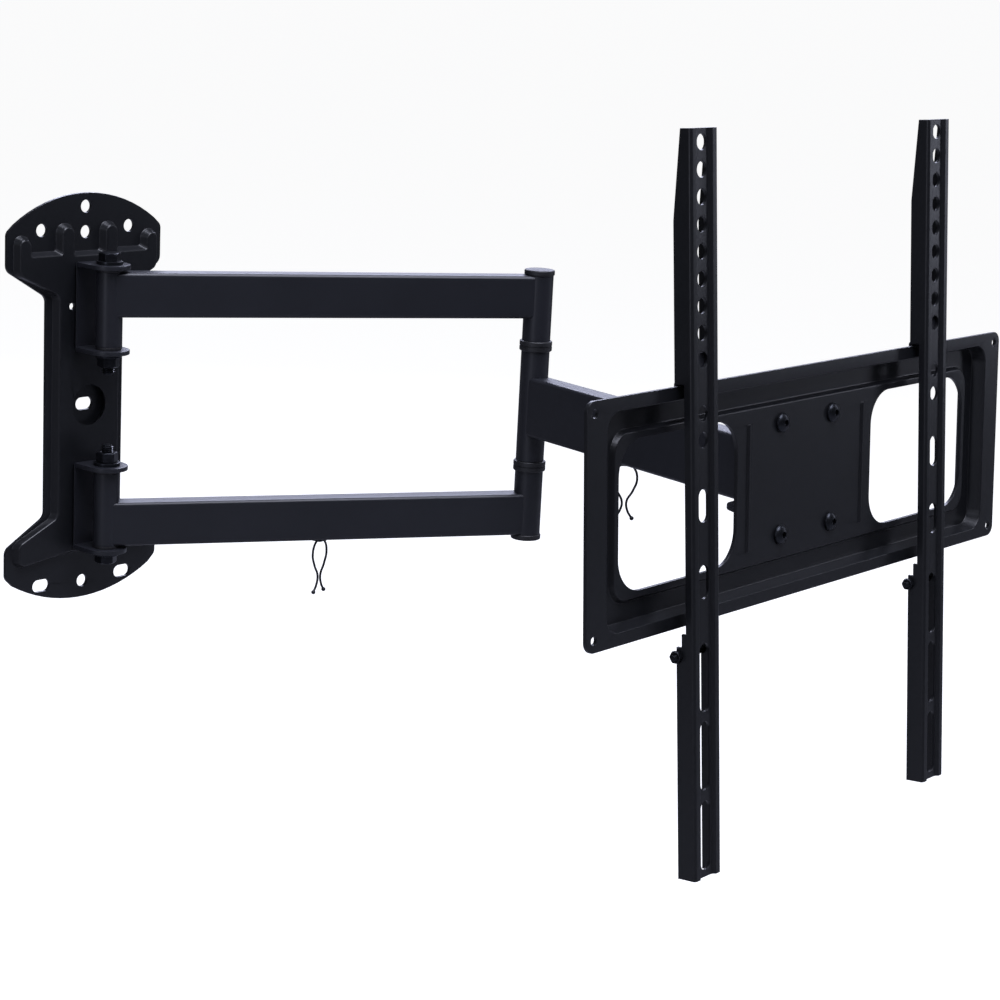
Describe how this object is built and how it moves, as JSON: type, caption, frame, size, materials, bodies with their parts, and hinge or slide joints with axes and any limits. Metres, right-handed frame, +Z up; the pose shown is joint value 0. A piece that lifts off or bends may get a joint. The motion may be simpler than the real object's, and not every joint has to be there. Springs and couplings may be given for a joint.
{
  "type": "full motion tv wall mount",
  "caption": "Full motion wall mount: a stamped wall plate, two-tube long arm, short folding arm, swivel and tilt head, and a carrier plate with sliding rails for the screen.",
  "frame": {"origin": "middle of the wall plate's back face, on the wall", "axes": "+X right along the wall, +Y into the wall, +Z up; the mount stands out from the wall towards -Y"},
  "size_m": [0.5156, 0.4873, 0.4389],
  "materials": {
    "powder_coated_tube": "black powder coat, satin",
    "powder_coated_sheet": "black powder coat, fine grain",
    "black_oxide_steel": "black oxide, oiled",
    "black_nylon": "moulded nylon, matt",
    "spring_wire": "black coated spring wire"
  },
  "bodies": {
    "wall_bracket": {"wall_plate": "powder_coated_sheet", "upper_pivot_bracket": "powder_coated_tube", "lower_pivot_bracket": "powder_coated_tube", "upper_pivot_bolt": "black_oxide_steel", "upper_pivot_nut": "black_oxide_steel", "upper_pivot_head_washer": "black_oxide_steel", "upper_pivot_nut_washer": "black_oxide_steel", "lower_pivot_bolt": "black_oxide_steel", "lower_pivot_nut": "black_oxide_steel", "lower_pivot_head_washer": "black_oxide_steel", "lower_pivot_nut_washer": "black_oxide_steel"},
    "long_arm": {"upper_arm_tube": "powder_coated_tube", "upper_wall_knuckle": "powder_coated_tube", "upper_knuckle_outer_bush": "black_nylon", "upper_knuckle_inner_bush": "black_nylon", "upper_elbow_post": "powder_coated_tube", "upper_elbow_cap": "black_nylon", "lower_arm_tube": "powder_coated_tube", "lower_wall_knuckle": "powder_coated_tube", "lower_knuckle_outer_bush": "black_nylon", "lower_knuckle_inner_bush": "black_nylon", "lower_elbow_post": "powder_coated_tube", "lower_elbow_cap": "black_nylon", "elbow_spindle": "black_oxide_steel", "elbow_spindle_nut": "black_oxide_steel", "long_arm_cable_clip": "spring_wire"},
    "short_arm": {"elbow_middle_post": "powder_coated_tube", "short_arm_tube": "powder_coated_tube", "elbow_upper_collar": "black_nylon", "elbow_lower_collar": "black_nylon", "short_arm_cable_clip": "spring_wire", "swivel_upper_bush": "black_nylon", "swivel_lower_bush": "black_nylon"},
    "swivel_head": {"swivel_yoke": "powder_coated_tube", "swivel_bolt": "black_oxide_steel", "swivel_nut": "black_oxide_steel", "swivel_upper_washer": "black_oxide_steel", "swivel_lower_washer": "black_oxide_steel", "left_tilt_bolt": "black_oxide_steel", "left_tilt_nut": "black_oxide_steel", "right_tilt_bolt": "black_oxide_steel", "right_tilt_nut": "black_oxide_steel"},
    "carrier": {"carrier_plate": "powder_coated_sheet", "tilt_bracket": "powder_coated_tube", "upper_left_plate_bolt": "black_oxide_steel", "upper_left_plate_nut": "black_oxide_steel", "upper_right_plate_bolt": "black_oxide_steel", "upper_right_plate_nut": "black_oxide_steel", "lower_left_plate_bolt": "black_oxide_steel", "lower_left_plate_nut": "black_oxide_steel", "lower_right_plate_bolt": "black_oxide_steel", "lower_right_plate_nut": "black_oxide_steel"},
    "left_rail_set": {"left_rail": "powder_coated_sheet", "left_rail_hook": "powder_coated_tube", "left_rail_lock_screw": "black_oxide_steel", "left_rail_lock_nut": "black_oxide_steel"},
    "right_rail_set": {"right_rail": "powder_coated_sheet", "right_rail_hook": "powder_coated_tube", "right_rail_lock_screw": "black_oxide_steel", "right_rail_lock_nut": "black_oxide_steel"}
  },
  "joints": [
    {"name": "wall_swing", "type": "hinge", "parent": "wall_bracket", "child": "long_arm", "pos_m": [0, -0.028, 0], "axis": [0, 0, 1], "range_deg": [-90, 29]},
    {"name": "elbow_swing", "type": "hinge", "parent": "long_arm", "child": "short_arm", "pos_m": [0.26172, -0.17668, 0], "axis": [0, 0, -1], "range_deg": [-85, 70]},
    {"name": "screen_swivel", "type": "hinge", "parent": "short_arm", "child": "swivel_head", "pos_m": [0.2198, -0.40282, 0], "axis": [0, 0, 1], "range_deg": [-75, 75]},
    {"name": "screen_tilt", "type": "hinge", "parent": "swivel_head", "child": "carrier", "pos_m": [0.22081, -0.4278, 0], "axis": [0.9992, 0.0401, 0], "range_deg": [-1, 19]},
    {"name": "left_rail_slide", "type": "slide", "parent": "carrier", "child": "left_rail_set", "axis": [0.9992, 0.0401, 0], "range_m": [-0.07, 0.06]},
    {"name": "right_rail_slide", "type": "slide", "parent": "carrier", "child": "right_rail_set", "axis": [0.9992, 0.0401, 0], "range_m": [-0.054, 0.076]}
  ]
}
